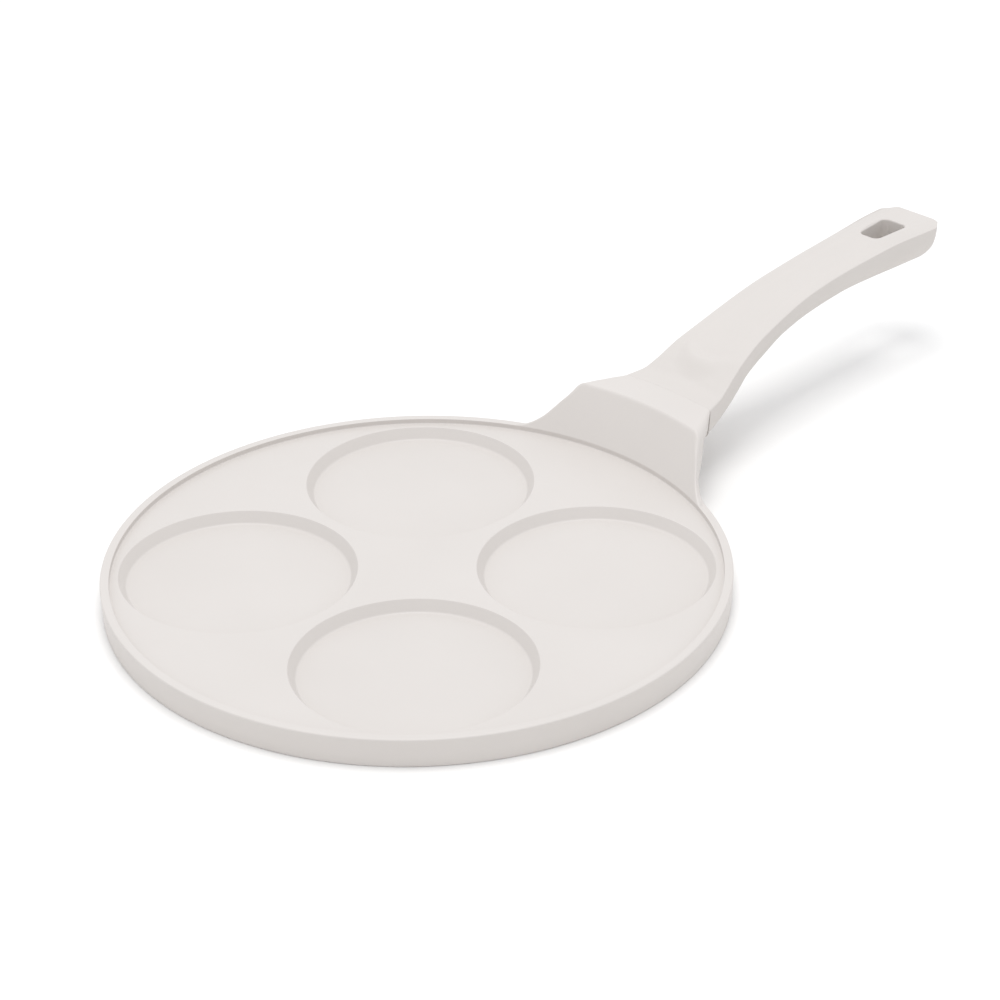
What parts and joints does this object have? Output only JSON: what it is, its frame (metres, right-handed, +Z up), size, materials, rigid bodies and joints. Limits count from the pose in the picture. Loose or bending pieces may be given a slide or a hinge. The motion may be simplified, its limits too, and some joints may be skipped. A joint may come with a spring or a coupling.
{
  "type": "pancake pan",
  "caption": "Round low-rimmed pancake pan with shallow round cups in its deck, a raised cast bracket and a curved moulded handle with a hang hole.",
  "frame": {"origin": "centre of the round pan on the plane it rests on", "axes": "+X from the pan's centre along the handle, +Z up"},
  "size_m": [0.4589, 0.26, 0.0636],
  "materials": {
    "cream_coating": "satin cream non-stick coating on cast aluminium",
    "base_steel": "turned steel",
    "handle_plastic": "matte cream heat-proof moulding",
    "insert_brass": "machined brass",
    "fastener_steel": "zinc plated steel"
  },
  "bodies": {
    "root": {"pan_body": "cream_coating", "induction_disc": "base_steel", "handle": "handle_plastic", "threaded_insert": "insert_brass", "handle_screw": "fastener_steel", "spring_washer": "fastener_steel", "flat_washer": "fastener_steel"}
  },
  "joints": []
}
